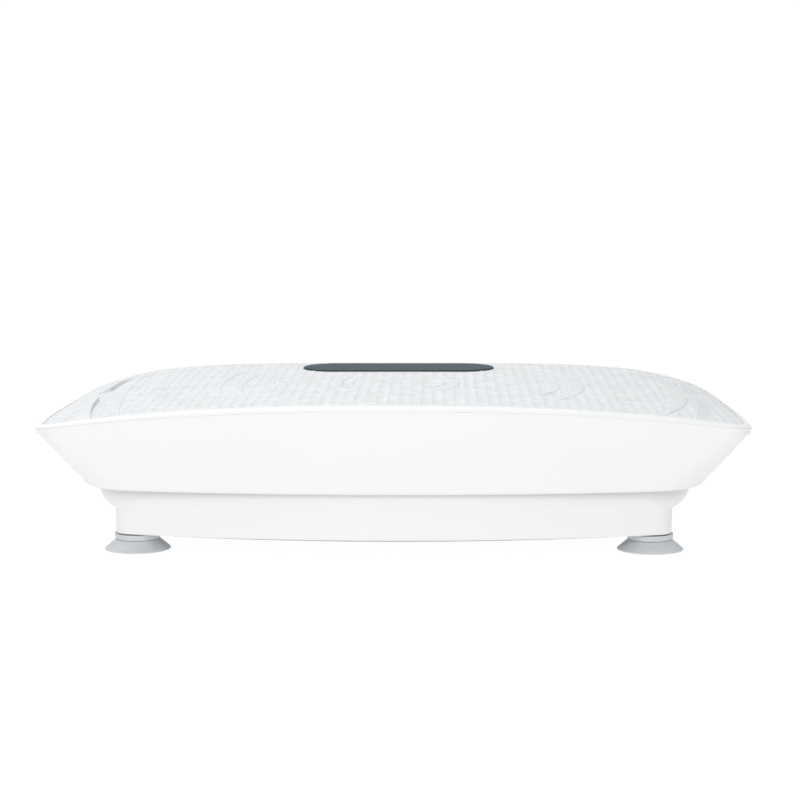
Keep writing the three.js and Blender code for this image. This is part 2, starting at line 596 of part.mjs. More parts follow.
const MOTOR_R = 30;
const CRANK_R = 6;
const MOTOR_SHAFT_R = 4;
const MOTOR_BRACKET = { half: 34, y: [-45, -42], footRear: -12, thickness: 3, top: 33, hole: 9 };
function motorBracket() {
  const { half, y, footRear, thickness, top, hole } = MOTOR_BRACKET;
  const face = new THREE.Shape();
  face.moveTo(MOTOR_X - half, MOUNT_Z);
  face.lineTo(MOTOR_X + half, MOUNT_Z);
  face.absarc(MOTOR_X, DRIVE_Z, top, 0, Math.PI, false);
  face.closePath();
  roundHole(face, MOTOR_X, DRIVE_Z, hole);
  const foot = block(MOTOR_X - half, MOTOR_X + half, y[0], footRear, MOUNT_Z, MOUNT_Z + thickness);
  return combine(plateAcrossY(face, ...y), { add: [foot] });
}

piece('motor_can', turnedAlongY([[0, -41.6], [8, -41.6], [8, -39.5], [MOTOR_R - 2, -39.5], [MOTOR_R, -37.5],
  [MOTOR_R, 56], [MOTOR_R - 3, 59], [11, 59], [11, 66], [0, 66]], MOTOR_X, DRIVE_Z), greySteel);
piece('motor_bracket', motorBracket(), greySteel);
piece('motor_shaft', barAlongY(MOTOR_SHAFT_R, MOTOR_X, DRIVE_Z, -76.5, -42), greySteel);
piece('motor_pulley', pulley(MOTOR_PITCH_R, MOTOR_SHAFT_R + GAP, MOTOR_X), greySteel);
piece('drive_belt', driveBelt(), blackRubber);
piece('crank_pulley', pulley(CRANK_PITCH_R, CRANK_R + GAP, CRANK_X), greySteel);
piece('crank_shaft', barAlongY(CRANK_R, CRANK_X, DRIVE_Z, -77, -4), greySteel);
for (const [end, y0] of [['front', -50], ['rear', -14]]) {
  const shape = upright({ x: CRANK_X, z: DRIVE_Z, boss: 14, bore: CRANK_R + GAP, foot: MOUNT_Z, half: 26 });
  piece(`crank_block_${end}`, plateAcrossY(shape, y0, y0 + 8), greySteel);
}

const ECCENTRIC_R = 14;
function eccentric() {
  const shape = new THREE.Shape();
  shape.absarc(CRANK_X + ECCENTRICITY, DRIVE_Z, ECCENTRIC_R, 0, 2 * Math.PI, false);
  roundHole(shape, CRANK_X, DRIVE_Z, CRANK_R + GAP);
  return plateAcrossY(shape, LINK_Y[0] + 0.5, LINK_Y[1] - 0.5, 12);
}

// The link's big end is wide enough to leave the eccentric free at every position.
const BIG_END = [19, 24.5];
const SMALL_END = [LINK_PIN_R + GAP, 8.5];
function linkRod() {
  const shape = new THREE.Shape();
  const lean = Math.asin((BIG_END[1] - SMALL_END[1]) / (LINK_PIN_Z - DRIVE_Z));
  shape.absarc(CRANK_X, LINK_PIN_Z, SMALL_END[1], lean, Math.PI - lean, false);
  shape.absarc(CRANK_X, DRIVE_Z, BIG_END[1], Math.PI - lean, 2 * Math.PI + lean, false);
  shape.closePath();
  roundHole(shape, CRANK_X, LINK_PIN_Z, SMALL_END[0]);
  roundHole(shape, CRANK_X, DRIVE_Z, BIG_END[0]);
  return plateAcrossY(shape, ...LINK_Y, 10);
}
piece('crank_eccentric', eccentric(), greySteel);
piece('link_rod', linkRod(), greySteel);

// ---- base: electronics ----
const BOARD = { x: [-240, -140], y: [-55, 55], z: [28, 29.6] };
function controlBoard() {
  const board = block(...BOARD.x, ...BOARD.y, ...BOARD.z);
  const legs = [BOARD.x[0] + 5, BOARD.x[1] - 5].flatMap((x) => [BOARD.y[0] + 5, BOARD.y[1] - 5]
    .map((y) => barAlongZ(3, x, y, MOUNT_Z, BOARD.z[0] + 0.5, 10)));
  return combine(board, { add: legs });
}

const SINK = { x: [-230, -190], y: [-48, -16], fins: 6, pitch: 6, fin: 2, base: 3, height: 22 };
function heatSink() {
  const bottom = BOARD.z[1] + GAP;
  const foot = block(...SINK.x, ...SINK.y, bottom, bottom + SINK.base);
  const fins = Array.from({ length: SINK.fins }, (_, i) => {
    const y = SINK.y[0] + SINK.pitch * i;
    return block(...SINK.x, y, y + SINK.fin, bottom + SINK.base - 1, bottom + SINK.height);
  });
  return combine(foot, { add: fins });
}

// Internal leads, from the power module to the board and from the motor to the board.
const INLET_ROUTE = [[-15, 143.8, 37], [-18, 134, 37], [-60, 124, 34], [-95, 105, 36],
  [-140, 72, 46], [-155, 50, 44], [-155, 48, 30.4]];
const MOTOR_ROUTE = [[-78, 59.5, 64], [-78, 68, 64], [-100, 72, 60],
  [-130, 40, 54], [-150, 8, 46], [-150, 6, 30.4]];
const CAPACITOR_AT = [-165, 25];

function lead(points, radius) {
  const path = new THREE.CatmullRomCurve3(points.map((p) => new THREE.Vector3(...p)));
  const round = new THREE.Shape();
  round.absarc(0, 0, radius, 0, 2 * Math.PI, false);
  const options = { steps: 12, extrudePath: path, curveSegments: 4, bevelEnabled: false };
  return new THREE.ExtrudeGeometry(round, options);
}

piece('control_board', controlBoard(), boardGreen);
piece('heat_sink', heatSink(), greySteel);
piece('capacitor', turnedAlongZ([[0, 29.9], [10.4, 29.9], [11, 30.6], [11, 57], [9.5, 58.5], [0, 58.5]],
  ...CAPACITOR_AT, 16), blackPlastic);
piece('inlet_lead', lead(INLET_ROUTE, 3), blackPlastic);
piece('motor_lead', lead(MOTOR_ROUTE, 2.2), blackPlastic);

export default plate;
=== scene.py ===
"""Looks of the vibration plate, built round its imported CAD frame.

Lengths are millimetres until a mesh is made. Lights and the camera are placed in metres.
"""
import json
import math

import bpy
import numpy as np
from mathutils import Matrix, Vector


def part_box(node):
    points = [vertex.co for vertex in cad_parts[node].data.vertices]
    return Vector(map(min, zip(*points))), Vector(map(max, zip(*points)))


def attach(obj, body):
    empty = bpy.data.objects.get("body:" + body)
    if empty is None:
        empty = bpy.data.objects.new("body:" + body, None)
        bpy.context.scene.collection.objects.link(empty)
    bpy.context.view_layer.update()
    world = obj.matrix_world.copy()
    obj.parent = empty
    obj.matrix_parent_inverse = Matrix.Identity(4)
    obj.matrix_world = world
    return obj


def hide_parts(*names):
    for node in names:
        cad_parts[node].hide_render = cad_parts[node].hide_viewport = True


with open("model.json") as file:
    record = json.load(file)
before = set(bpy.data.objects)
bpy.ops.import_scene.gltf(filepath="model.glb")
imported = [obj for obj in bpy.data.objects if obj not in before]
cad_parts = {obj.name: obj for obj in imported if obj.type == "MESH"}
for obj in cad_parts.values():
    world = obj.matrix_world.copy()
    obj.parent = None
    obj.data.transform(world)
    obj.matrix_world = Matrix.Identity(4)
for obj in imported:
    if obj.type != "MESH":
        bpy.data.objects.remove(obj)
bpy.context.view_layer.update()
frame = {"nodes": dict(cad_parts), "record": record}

MM = 0.001


# ---- sizes, read from the frame ----
def box_mm(node):
    low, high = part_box(node)
    return np.array(low) / MM, np.array(high) / MM


HALF_WIDTH, HALF_DEPTH = box_mm("top_cover")[1][:2]
DECK_Z = box_mm("deck_mat")[1][2]
LIP_Z = box_mm("side_shell")[0][2]
SKIRT_Z = box_mm("base_tub")[0][2]
LENS_LOW, LENS_HIGH = box_mm("control_lens")
LENS_Y = (LENS_LOW[1] + LENS_HIGH[1]) / 2
LENS_HALF_DEPTH = (LENS_HIGH[1] - LENS_LOW[1]) / 2
LENS_END = 34.0                # length of the lens's rounded ends
CORNERS = ["front_left", "front_right", "rear_left", "rear_right"]

RIM_RISE = 4.0                 # deck above the rim's outer edge
RIM_Z = DECK_Z - RIM_RISE
FRONT_ARCH = 24.5              # how far the front edge falls at its ends, in a gentle arch
FRONT_POWER = 2.4
BACK_ARCH = 30.4               # how far the back edge falls, all near its corners
BACK_POWER = 6
EDGE_ROLL = 1.65               # how far the front edge of the deck rolls down over its last stretch
ROLL_WIDTH = 30.0
SEAM_DROP = 2.8                # the top cover's edge band below the rim's outer edge, at the middle
SEAM_HAIR = 0.35               # and at the tips
SEAM_POWER = 4
RECESS = 7.0                   # rim's outer edge to the mat
RIM = dict(a=HALF_WIDTH, b=HALF_DEPTH, bow_front=34.0, bow_side=10.6, corner=28.0)


# ---- the bowed outline ----
def outline(a, b, bow_front, bow_side, corner, n=22):
    """A rounded rectangle with four bowed sides, as points going round from the middle of the front."""
    front_r = (a * a + bow_front ** 2) / (2 * bow_front)
    side_r = (b * b + bow_side ** 2) / (2 * bow_side)
    front_c, side_c = np.array([0, front_r - b]), np.array([a - side_r, 0.0])
    along = side_c - front_c
    distance = np.linalg.norm(along)
    along /= distance
    reach = ((front_r - corner) ** 2 - (side_r - corner) ** 2 + distance ** 2) / (2 * distance)
    offset = math.sqrt((front_r - corner) ** 2 - reach ** 2)
    across = np.array([along[1], -along[0]])
    centre = max((front_c + along * reach + across * offset * sign for sign in (-1, 1)),
                 key=lambda p: p[0] - p[1])
    front_angle = math.atan2(*(centre - front_c)[::-1])
    side_angle = math.atan2(*(centre - side_c)[::-1])

    def arc(middle, radius, start, end, steps):
        angle = np.linspace(start, end, steps)
        return np.array(middle) + radius * np.c_[np.cos(angle), np.sin(angle)]

    quarter = np.vstack([arc(front_c, front_r, -math.pi / 2, front_angle, 2 * n),
                         arc(centre, corner, front_angle, side_angle, n)[1:],
                         arc(side_c, side_r, side_angle, 0, n)[1:]])
    half = np.vstack([quarter, quarter[::-1][1:] * [1, -1]])
    return np.vstack([half, half[::-1][1:-1] * [-1, 1]])


def inset(ring, by):
    """The outline's sizes moved in by a distance, or out if it is below zero."""
    return {**ring, "a": ring["a"] - by, "b": ring["b"] - by, "corner": max(ring["corner"] - by, 3)}


def mixed(low, high, share):
    """Sizes between those of two outlines."""
    return {key: low[key] + (high[key] - low[key]) * share for key in low}


def smooth(t):
    """Eases a share from 0 to 1, level at both ends."""
    return t * t * (3 - 2 * t)


def backness(y):
    """0 at the platform's front edge, 1 at its back edge, eased between."""
    return smooth(np.clip((y + HALF_DEPTH) / (2 * HALF_DEPTH), 0, 1))


def fall(x, y):
    """How far the platform's top has dropped: an arch along the front, only the corners along the back."""
    out = np.minimum(np.abs(x) / HALF_WIDTH, 1)
    back = backness(y)
    return (1 - back) * FRONT_ARCH * out ** FRONT_POWER + back * BACK_ARCH * out ** BACK_POWER


def roll(y):
    """How far the deck's edge rolls down at a point: all the way along the front, not at all at the back."""
    return EDGE_ROLL * (1 - backness(y))


def seam_drop(x):
    """Depth of the edge band, which narrows to a hair towards the tips."""
    return np.maximum(SEAM_DROP * (1 - (np.abs(x) / HALF_WIDTH) ** SEAM_POWER), SEAM_HAIR)


def level(ring, z):
    """The outline's points at one height."""
    points = outline(**ring)
    return np.c_[points, np.full(len(points), float(z))]


def domed(ring, z, scale=1.0):
    """The outline's points at a height in the middle, dropping outwards as the platform's top does."""
    points = outline(**ring) * scale
    return np.c_[points, z - fall(points[:, 0], points[:, 1])]


# ---- meshes ----
def shade(mesh, sharp_deg=None):
    """Shades a mesh smooth, with edges over sharp_deg kept crisp."""
    mesh.polygons.foreach_set("use_smooth", [True] * len(mesh.polygons))
    if sharp_deg is not None:
        mesh.set_sharp_from_angle(angle=math.radians(sharp_deg))


def make(name, verts, faces, sharp_deg=None):
    """A new mesh object from points in millimetres."""
    mesh = bpy.data.meshes.new(name)
    points = [tuple(point) for point in np.asarray(verts, float) * MM]
    mesh.from_pydata(points, [], [tuple(map(int, face)) for face in faces])
    mesh.validate()
    piece = bpy.data.objects.new(name, mesh)
    bpy.context.scene.collection.objects.link(piece)
    shade(mesh, sharp_deg)
    return piece


def volume(verts, faces):
    """Six times the signed volume: above zero when the faces look outward."""
    triangles = [(face[0], face[i], face[i + 1]) for face in faces for i in range(1, len(face) - 1)]
    a, b, c = np.asarray(verts)[np.array(triangles)].transpose(1, 0, 2)
    return float(np.einsum("ij,ij->", a, np.cross(b, c)))


def outward(verts, faces):
    """The faces, turned over if they look inward."""
    return faces if volume(verts, faces) > 0 else [face[::-1] for face in faces]


def loft(loops, ring=False):
    """A skin over a stack of equal loops: closed by fans at both ends, or joined last to first."""
    count = len(loops[0])
    verts = list(np.vstack(loops))
    faces = []
    for k in range(len(loops) if ring else len(loops) - 1):
        low, high = k * count, ((k + 1) % len(loops)) * count
        for i in range(count):
            j = (i + 1) % count
            faces.append([low + i, low + j, high + j, high + i])
    if not ring:
        for start, flip in ((0, True), ((len(loops) - 1) * count, False)):
            verts.append(np.mean(loops[0 if flip else -1], axis=0))
            for i in range(count):
                j = (i + 1) % count
                fan = [start + i, start + j, len(verts) - 1]
                faces.append(fan[::-1] if flip else fan)
    return verts, outward(verts, faces)


def turn(profile, centre, steps=96, ring=False):
    """Turns a profile of (radius, height) about a vertical line: closed by flat ends, or a closed ring."""
    angle = np.linspace(0, 2 * math.pi, steps, endpoint=False)
    loops = [np.c_[centre[0] + r * np.cos(angle), centre[1] + r * np.sin(angle), np.full(steps, z)]
             for r, z in profile]
    return loft(loops, ring)


def join(parts):
    """One part of points and faces from several."""
    verts, faces = [], []
    for part_verts, part_faces in parts:
        start = len(verts)
        verts.extend(part_verts)
        faces.extend([[i + start for i in face] for face in part_faces])
    return verts, faces


def quarter_round(r0, z0, r1, z1, steps=6, bulge_first="r"):
    """Points of a quarter ellipse from (r0, z0) to (r1, z1), leaving along r or along z."""
    out = []
    for i in range(steps + 1):
        t = math.pi / 2 * i / steps
        s, c = math.sin(t), 1 - math.cos(t)
        out.append((r0 + (r1 - r0) * (s if bulge_first == "r" else c),
                    z0 + (z1 - z0) * (c if bulge_first == "r" else s)))
    return out


def box_part(low, high):
    """A plain box between two corners."""
    (x0, y0, z0), (x1, y1, z1) = low, high
    verts = [np.array([x, y, z], float) for z in (z0, z1) for y in (y0, y1) for x in (x0, x1)]
    faces = [[0, 2, 3, 1], [4, 5, 7, 6], [0, 1, 5, 4], [2, 6, 7, 3], [0, 4, 6, 2], [1, 3, 7, 5]]
    return verts, faces


def apply_modifiers(piece):
    """Replaces a piece's mesh by what its modifiers make of it."""
    bpy.context.view_layer.update()
    graph = bpy.context.evaluated_depsgraph_get()
    mesh = bpy.data.meshes.new_from_object(piece.evaluated_get(graph))
    piece.modifiers.clear()
    piece.data = mesh


def carve(piece, part, operation="DIFFERENCE"):
    """Cuts a closed part out of a piece, or joins it on with "UNION"."""
    tool = make("tool", *part)
    modifier = piece.modifiers.new("carve", "BOOLEAN")
    modifier.object = tool
    modifier.operation = operation
    modifier.solver = "EXACT"
    apply_modifiers(piece)
    bpy.data.objects.remove(tool)


# ---- materials ----
RANGE = ("From Min", "From Max", "To Min", "To Max")           # a Map Range node's sockets
NOISE_LOW, NOISE_HIGH = 0.3, 0.7                               # where most of a noise texture's values lie


def srgb(*values):
    """A shader colour from sRGB values of 0 to 255."""
    shares = [value / 255 for value in values]
    linear = [c / 12.92 if c <= 0.04045 else ((c + 0.055) / 1.055) ** 2.4 for c in shares]
    return (*linear, 1.0)


def toned(color, factor, lift=0.0):
    """A colour made darker or lighter."""
    return tuple(min(1.0, c * factor + lift) for c in color[:3]) + (1.0,)


class Material:
    """A node material round one Principled shader, with short helpers for its procedural layers."""

    def __init__(self, name, color, roughness, metallic=0.0, specular=0.5):
        self.material = bpy.data.materials.new(name)
        self.material.use_nodes = True
        self.tree = self.material.node_tree
        self.shader = self.tree.nodes["Principled BSDF"]
        self.shader.inputs["Base Color"].default_value = color
        self.shader.inputs["Roughness"].default_value = roughness
        self.shader.inputs["Metallic"].default_value = metallic
        self.shader.inputs["Specular IOR Level"].default_value = specular
        self.color = color
        self.place = self.node("ShaderNodeTexCoord").outputs["Object"]

    def node(self, kind, **settings):
        node = self.tree.nodes.new(kind)
        for key, value in settings.items():
            setattr(node, key, value)
        return node

    def link(self, source, target):
        self.tree.links.new(source, target)

    def noise(self, scale, detail=3.0, roughness=0.55, stretch=(1, 1, 1)):
        mapping = self.node("ShaderNodeMapping")
        mapping.inputs["Scale"].default_value = stretch
        self.link(self.place, mapping.inputs["Vector"])
        noise = self.node("ShaderNodeTexNoise")
        noise.inputs["Scale"].default_value = scale
        noise.inputs["Detail"].default_value = detail
        noise.inputs["Roughness"].default_value = roughness
        self.link(mapping.outputs["Vector"], noise.inputs["Vector"])
        return noise.outputs["Fac"]

    def spread(self, source, low, high):
        """Maps a noise texture's usual values onto low to high."""
        ranged = self.node("ShaderNodeMapRange")
        for key, value in zip(RANGE, (NOISE_LOW, NOISE_HIGH, low, high)):
            ranged.inputs[key].default_value = value
        self.link(source, ranged.inputs["Value"])
        return ranged.outputs["Result"]

    def tint(self, source, other):
        """Mixes the base colour with another, by a texture."""
        mix = self.node("ShaderNodeMix", data_type="RGBA")
        self.link(self.spread(source, 0.0, 1.0), mix.inputs["Factor"])
        mix.inputs["A"].default_value = self.color
        mix.inputs["B"].default_value = other
        self.link(mix.outputs["Result"], self.shader.inputs["Base Color"])
        return self

    def vary_roughness(self, source, low, high):
        self.link(self.spread(source, low, high), self.shader.inputs["Roughness"])
        return self

    def bump(self, source, distance_mm):
        """Makes a texture's values into a fine relief."""
        bump = self.node("ShaderNodeBump")
        bump.inputs["Distance"].default_value = distance_mm * MM
        self.link(source, bump.inputs["Height"])
        self.link(bump.outputs["Normal"], self.shader.inputs["Normal"])
        return self


def moulded(name, color, roughness, grain_mm=0.6, grain_depth_mm=0.012):
    """Injection-moulded plastic: a fine spark grain, faint flow marks and uneven gloss."""
    m = Material(name, color, roughness, specular=0.45)
    grain = m.noise(1000 / grain_mm, detail=2.0, roughness=0.6)
    flow = m.noise(9.0, detail=2.0, stretch=(1, 1, 2.5))
    m.tint(flow, toned(color, 0.99))
    m.vary_roughness(flow, roughness - 0.04, roughness + 0.05)
    return m.bump(grain, grain_depth_mm)


def metal(name, color, roughness, brushed=(1, 1, 1)):
    """Plated or bare metal with fine drawn streaks and a cloudy tone."""
    m = Material(name, color, roughness, metallic=1.0)
    streaks = m.noise(900.0, detail=3.0, stretch=brushed)
    clouds = m.noise(45.0, detail=4.0)
    m.tint(clouds, toned(color, 0.8))
    m.vary_roughness(streaks, roughness - 0.08, roughness + 0.12)
    return m.bump(streaks, 0.01)


def rubber(name, color, roughness, specular=0.35):
    """Moulded rubber: soft bloom, fine pits and no hard gloss."""
    m = Material(name, color, roughness, specular=specular)
    pits = m.noise(1400.0, detail=2.0)
    bloom = m.noise(60.0, detail=5.0)
    m.tint(bloom, toned(color, 1.12, lift=0.01))
    m.vary_roughness(bloom, roughness - 0.06, roughness + 0.08)
    return m.bump(pits, 0.02)


def glossy_panel(name, color, darker):
    """A dark touch panel: smooth, with a barely uneven tone and gloss."""
    m = Material(name, color, 0.4, specular=0.005)
    m.tint(m.noise(25.0, detail=2.0), darker)
    return m.vary_roughness(m.noise(300.0, detail=2.0), 0.29, 0.35)


WHITE = moulded("white_housing", (0.80, 0.805, 0.81, 1.0), 0.42)
MAT = rubber("grey_mat", (0.655, 0.67, 0.683, 1.0), 0.62, specular=0.3)
LENS = glossy_panel("dark_lens", srgb(56, 69, 75), srgb(53, 66, 72))
FOOT = rubber("foot_rubber", (0.555, 0.58, 0.595, 1.0), 0.5)
BLACK = moulded("black_plastic", srgb(34, 34, 36), 0.45, grain_mm=0.5, grain_depth_mm=0.02)
STEEL = metal("steel", srgb(176, 179, 182), 0.34, brushed=(1, 12, 1))
MOTOR = moulded("motor_paint", srgb(40, 40, 43), 0.4)
ALLOY = metal("alloy", srgb(205, 206, 208), 0.3, brushed=(1, 1, 12))
BRONZE = metal("bearing_bronze", srgb(190, 160, 105), 0.35)
RUBBER = rubber("black_rubber", srgb(36, 36, 37), 0.75)
BOARD = moulded("circuit_board", srgb(38, 96, 56), 0.5, grain_mm=1.2)
MATERIALS = {
    "white_housing": WHITE, "grey_mat": MAT, "dark_lens": LENS, "foot_rubber": FOOT, "black_plastic": BLACK,
    "steel": STEEL, "motor_paint": MOTOR, "alloy": ALLOY, "bearing_bronze": BRONZE, "black_rubber": RUBBER,
    "circuit_board": BOARD,
}


def dress(piece, slot, body, *nodes):
    """Gives a piece its material, its body and the CAD nodes that it stands for."""
    piece.data.materials.clear()
    piece.data.materials.append(MATERIALS[slot].material)
    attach(piece, body)
    if nodes:
        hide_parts(*nodes)
    return piece


# ---- camera ----
CAMERA_PLACE = (0.0448, -2.09, 0.3645)                          # metres
CAMERA_TURN = dict(left=0.0194, down=0.1125, roll=-0.0018)      # radians
CAMERA_LENS, CAMERA_SENSOR = 96.0, 36.0                         # millimetres


def add_camera():
    data = bpy.data.cameras.new("camera")
    data.lens = CAMERA_LENS
    data.sensor_width = CAMERA_SENSOR
    camera = bpy.data.objects.new("camera", data)
    camera.location = CAMERA_PLACE
    attitude = (Matrix.Rotation(CAMERA_TURN["left"], 3, "Z")
                @ Matrix.Rotation(math.pi / 2 - CAMERA_TURN["down"], 3, "X")
                @ Matrix.Rotation(CAMERA_TURN["roll"], 3, "Z"))
    camera.rotation_euler = attitude.to_euler()
    bpy.context.scene.collection.objects.link(camera)
    bpy.context.scene.camera = camera


# ---- top cover ----
RIM_ROUND = 5.6                # width of the rim's rounded band
BED_DEPTH = 3.3                # the deck's surface to the cover's bed under the mat
COVER_WALL = 3.0
RIB_X, RIB_Y = (-120, -60, 60, 120), (-118, 90)      # ribs under the deck, down to the steel frame
RIB_HALF = 1.2
RIB_GAP = 0.3                  # rib to steel frame
RIB_ROOT = 0.8                 # how far a rib reaches up into the cover
WINDOW_MARGIN = 8.0            # lens edge to the window under it
SCALES = (0.94, 0.88, 0.8, 0.7, 0.6, 0.5, 0.4, 0.28, 0.15)      # sizes of the loops across a broad face


def top_cover():
    """The dished moulding that carries the mat, with its rounded rim.

    The first number of each pair below is a distance in from the rim's outer edge.
    """
    tongue = [(4.4, 0.2), (3.9, -3.2), (2.2, -3.2), (1.7, 0.05)]      # closes the seam from behind
    band = [*tongue, (0.9, 0.0), (0.36, 0.0), (0.29, 0.07), (0.26, 0.2)]     # heights over the seam
    rim = quarter_round(0.0, 0.0, RIM_ROUND, RIM_RISE, 12, "z")
    lip = [(6.2, RIM_RISE + 0.02), (6.55, RIM_RISE - 0.08), (6.7, RIM_RISE - 0.35)]
    bed = DECK_Z - BED_DEPTH - EDGE_ROLL
    under = bed - COVER_WALL
    edge = inset(RIM, RECESS)

    def under_edge(x, z):
        loop = domed(inset(RIM, x), RIM_Z + z)
        loop[:, 2] -= seam_drop(loop[:, 0])
        return loop

    def rolled(x, z):
        loop = domed(inset(RIM, x), RIM_Z + z)
        loop[:, 2] -= roll(loop[:, 1]) * max(z, 0) / RIM_RISE
        return loop

    loops = [domed(edge, under, s) for s in SCALES[::-1]] + [domed(inset(RIM, RECESS + 1), under)]
    loops += [under_edge(x, z) for x, z in band] + [rolled(x, z) for x, z in rim + lip]
    loops += [domed(inset(RIM, lip[-1][0]), bed)] + [domed(edge, bed, s) for s in SCALES]
    cover = make("top_cover_fine", *loft(loops), sharp_deg=40)
    rib_foot = box_mm("platform_frame")[1][2] + RIB_GAP
    for x in RIB_X:
        rib = box_part((x - RIB_HALF, RIB_Y[0], rib_foot), (x + RIB_HALF, RIB_Y[1], under + RIB_ROOT))
        carve(cover, rib, "UNION")
    carve(cover, loft([lens_oval(WINDOW_MARGIN, under - 6), lens_oval(WINDOW_MARGIN, DECK_Z + 2)]))
    shade(cover.data, 40)
    dress(cover, "white_housing", "platform", "top_cover")


# ---- side shell: the sloping flank ----
FLANK_BASE = dict(a=295.0, b=182.5, bow_front=30.0, bow_side=9.0, corner=62.0)
LIP = dict(a=286.5, b=177.4, bow_front=31.0, bow_side=9.0, corner=56.0)
BULGE = 1.6                    # how far the flank swells out half way down
WALL = 3.0
CURL_HEIGHT = 5.0              # height of the rounded foot of the flank
SEAM_GAP = 0.1                 # flank to top cover
SEAM_SETBACK = 0.27            # the flank's top edge behind the rim's outer edge


def side_shell():
    """A closed sloping wall that curls in under itself at its foot.

    Its top edge is thin, because the top cover's tongue stands behind it.
    """
    top_ring = inset(RIM, SEAM_SETBACK)
    base_z = LIP_Z + CURL_HEIGHT

    def wall(offset, share, lower=0.0):
        """The wall's outline a share of the way up, moved in by offset; lower drops its top."""
        low = level(inset(FLANK_BASE, offset), base_z)
        high = domed(inset(top_ring, offset), RIM_Z - SEAM_GAP - lower)
        high[:, 2] -= seam_drop(high[:, 0])
        away = low[:, :2] / np.linalg.norm(low[:, :2], axis=1)[:, None]
        points = low + (high - low) * share
        points[:, :2] += BULGE * math.sin(math.pi * share) * away
        return points

    outer = [wall(0.0, 0.995), wall(0.0, 0.98)] + [wall(0.0, share) for share in np.linspace(1, 0, 13)[1:]]
    top_edge = [wall(1.1, 1.0), wall(0.1, 1.0), wall(0.03, 1.0, 0.03), wall(0.0, 1.0, 0.12)]
    curl = [level(mixed(FLANK_BASE, LIP, share), base_z + z)
            for share, z in quarter_round(0.0, 0.0, 1.0, -CURL_HEIGHT, 10, "z")[1:]]
    inner_lip = [level(inset(LIP, 1.2), LIP_Z), level(inset(LIP, 1.5), LIP_Z + 0.8),
                 level(inset(FLANK_BASE, 5.0), base_z)]
    inner = [wall(WALL, share, 6.0) for share in np.linspace(0, 1, 6)[1:]] + [wall(1.1, 1.0, 5.0)]
    loops = top_edge + outer + curl + inner_lip + inner
    shell = make("side_shell_fine", *loft(loops, ring=True), sharp_deg=50)
    dress(shell, "white_housing", "platform", "side_shell")


# ---- base tub ----
SKIRT = dict(a=264.0, b=167.0, bow_front=37.0, bow_side=8.0, corner=18.0)
WAIST = dict(a=264.5, b=169.4, bow_front=37.1, bow_side=8.0, corner=22.0)
NECK = dict(a=282.4, b=171.2, bow_front=41.0, bow_side=9.0, corner=60.0)
WAIST_Z = SKIRT_Z + 24.5
NECK_Z = SKIRT_Z + 41.5
TUB_TOP_Z = SKIRT_Z + 56.5
TUB_WALL = 2.6
FLOOR_Z = SKIRT_Z + 4.5
FLOOR_WALL = 3.2
FLARE_STEPS = 14
FLANGE = 2.3                   # the power module's flange and a hair's gap behind it
POST_R = 14.0                  # moulded posts under the rubber buffers
SEAT_X, SEAT_Z = 45.0, (22.5, 56.0)        # flat seat for the power module
OPENING_X, OPENING_Z = 38.0, (25.0, 53.0)  # and the hole through it
SEAT_INSIDE = 162.0                        # y where the seat begins, within the wall
OPENING_Y = (150.0, 190.0)


def base_tub():
    """The tray: an upright skirt, a flared neck, and inside it the posts and the power module's seat."""
    def between(low, high, low_z, high_z, share):
        """A level outline a share of the way from one to another."""
        return level(mixed(low, high, share), low_z + (high_z - low_z) * share)

    skirt = [between(SKIRT, WAIST, SKIRT_Z, WAIST_Z, share) for share in np.linspace(0.03, 0.97, 7)]
    skirt.insert(0, level(inset(SKIRT, 0.5), SKIRT_Z))
    flare = []
    for i in range(1, FLARE_STEPS + 1):
        t = math.pi / 2 * i / FLARE_STEPS
        rise = 1 - math.cos(t)
        ring = mixed(WAIST, NECK, math.sin(t))
        ring["b"] = WAIST["b"] + (NECK["b"] - WAIST["b"]) * rise
        flare.append(level(ring, WAIST_Z + 0.3 + (NECK_Z - WAIST_Z) * rise))
    top = [level(NECK, TUB_TOP_Z - 0.6), level(inset(NECK, 0.6), TUB_TOP_Z),
           level(inset(NECK, 2.0), TUB_TOP_Z), level(inset(NECK, TUB_WALL), TUB_TOP_Z - 0.6)]
    inner = [between(inset(WAIST, TUB_WALL), inset(NECK, TUB_WALL), WAIST_Z, NECK_Z, share)
             for share in (1.0, 0.5, 0.0)]
    inner += [level(inset(SKIRT, TUB_WALL), FLOOR_Z)]
    bottom = [level(inset(SKIRT, TUB_WALL), FLOOR_Z - FLOOR_WALL), level(inset(SKIRT, TUB_WALL), SKIRT_Z)]
    loops = inner[::-1] + top[::-1] + flare[::-1] + skirt[::-1] + bottom[::-1]
    shell = make("base_tub_fine", *loft(loops), sharp_deg=55)
    for corner in CORNERS:
        low, high = box_mm(f"rubber_buffer_{corner}")
        centre, top = (low + high)[:2] / 2, low[2]
        post = [(POST_R, FLOOR_Z - 1), (POST_R, top - 0.8), (POST_R - 0.8, top)]
        carve(shell, turn(post, centre, 48), "UNION")
    seat = box_mm("power_module")[1][1] - FLANGE
    carve(shell, box_part((-SEAT_X, SEAT_INSIDE, SEAT_Z[0]), (SEAT_X, seat, SEAT_Z[1])), "UNION")
    carve(shell, box_part((-OPENING_X, OPENING_Y[0], OPENING_Z[0]), (OPENING_X, OPENING_Y[1], OPENING_Z[1])))
    shade(shell.data, 40)
    dress(shell, "white_housing", "base", "base_tub")


# ---- deck mat ----
MAT_BASE = DECK_Z - 0.8        # the flat ground between the raised pads
MAT_BOTTOM = MAT_BASE - EDGE_ROLL - 1.2
MAT_RING = inset(RIM, RECESS - 0.15)
MAT_SCALES = (1.0, 0.84, 0.6, 0.3)         # sizes of the loops across the underside
MAT_END, MAT_END_STEPS = 11.0, 15          # finely divided stretch at the left and right ends
MAT_TIP = 0.01                 # the last column, this close to an end, is a single point
ROW_END = 0.4                  # rows stop this far from the mat's edge
